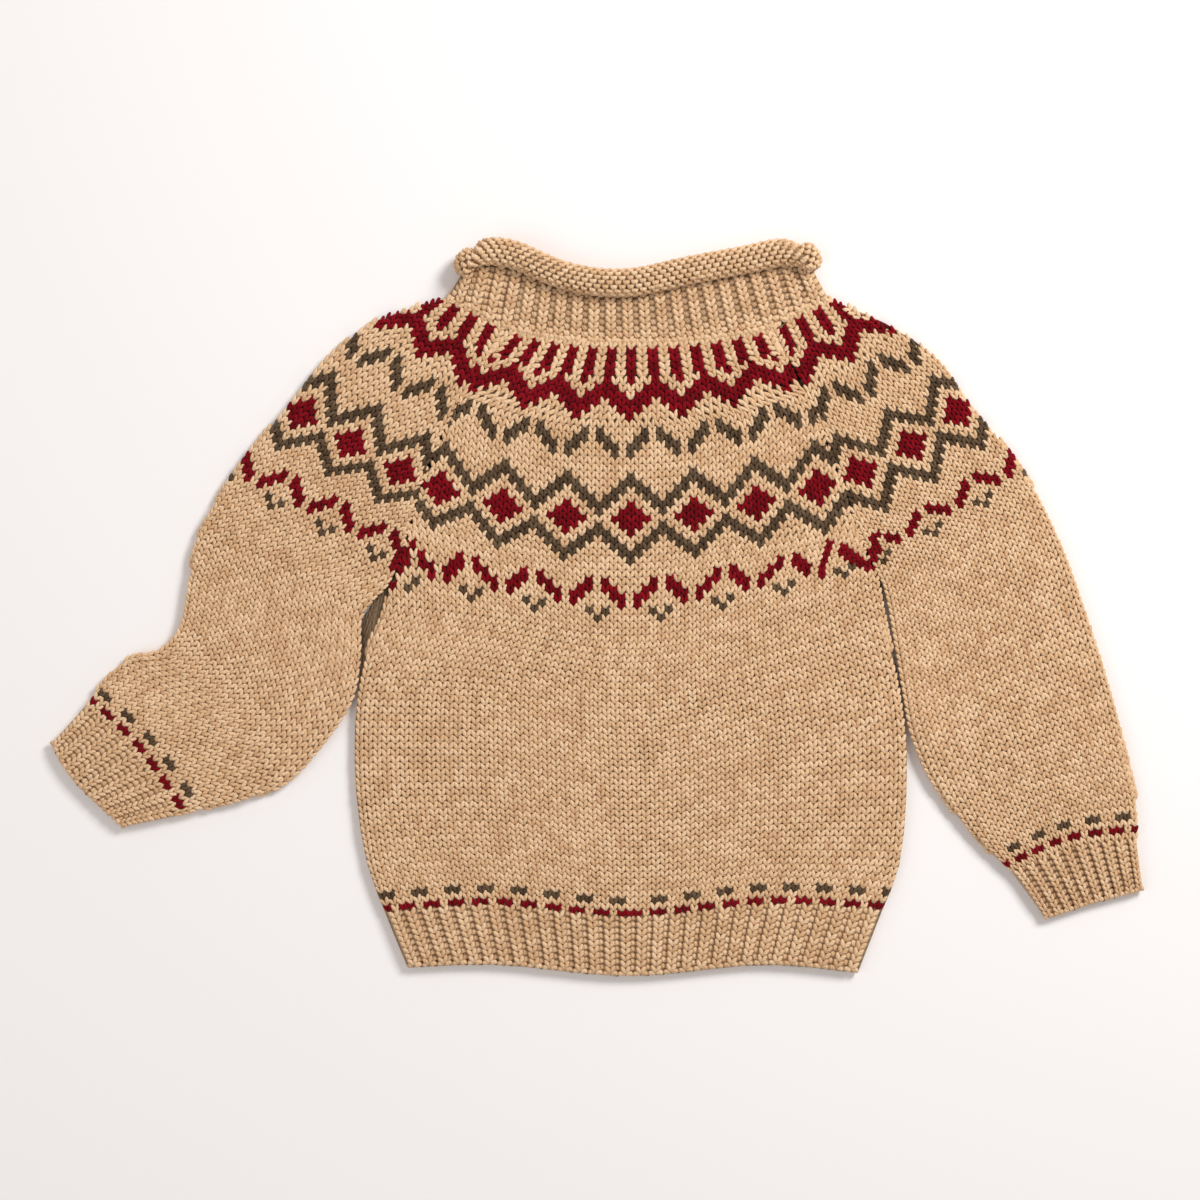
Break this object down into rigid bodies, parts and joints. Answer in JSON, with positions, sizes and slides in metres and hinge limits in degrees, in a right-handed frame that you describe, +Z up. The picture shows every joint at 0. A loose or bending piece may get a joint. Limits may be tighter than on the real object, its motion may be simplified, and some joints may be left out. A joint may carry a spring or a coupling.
{
  "type": "child's patterned-yoke knitted jumper",
  "caption": "Child's knitted pullover laid flat: raglan sleeves, ribbed hem and cuffs, ribbed neckband with a rolled edge, stranded colour pattern round the yoke.",
  "frame": {"origin": "on the surface that the jumper lies on, at the middle of its bounding box", "axes": "+X to the viewer's right across both sleeves, +Y from the hem towards the neck, +Z up from the surface, out of the front"},
  "size_m": [0.633, 0.4251, 0.0182],
  "materials": {
    "knit_front": "matt cream cotton yarn in stocking stitch, with maroon and olive-brown stranded pattern",
    "knit_back": "matt cream cotton yarn in stocking stitch",
    "knit_sleeves": "matt cream cotton yarn in stocking stitch, with maroon and olive-brown stranded pattern",
    "rib_neckband": "matt cream cotton yarn in one-by-one rib, with a rolled edge in reverse stocking stitch"
  },
  "bodies": {
    "root": {"front": "knit_front", "back": "knit_back", "sleeve_left": "knit_sleeves", "sleeve_right": "knit_sleeves", "neckband": "rib_neckband"}
  },
  "joints": []
}
